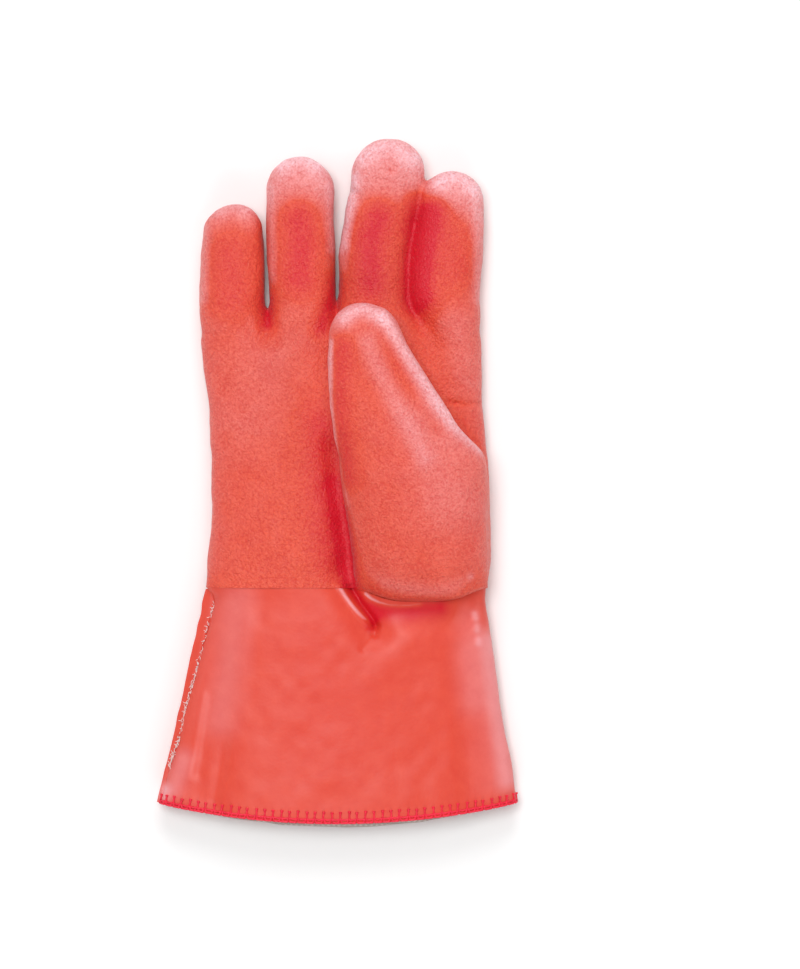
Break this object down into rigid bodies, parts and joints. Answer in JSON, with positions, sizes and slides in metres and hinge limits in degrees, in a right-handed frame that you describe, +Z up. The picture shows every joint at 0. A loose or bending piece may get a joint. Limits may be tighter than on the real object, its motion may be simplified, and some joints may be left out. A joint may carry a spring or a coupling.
{
  "type": "pvc coated work glove",
  "caption": "Right-hand PVC coated work glove with a rough dipped hand, the thumb folded over the palm, and a flared, jersey-lined gauntlet cuff, lying on its back.",
  "frame": {"origin": "middle of the glove's outline, at the height of its underside", "axes": "+Z up, away from the surface it lies on; +Y from the cuff towards the fingertips; +X towards the thumb's side"},
  "size_m": [0.161, 0.3064, 0.0476],
  "materials": {
    "rough_coat": "rough PVC",
    "smooth_coat": "smooth PVC",
    "jersey": "knitted cotton"
  },
  "bodies": {
    "root": {"hand_shell": "rough_coat", "gauntlet_cuff": "smooth_coat", "cuff_lining": "jersey"}
  },
  "joints": []
}
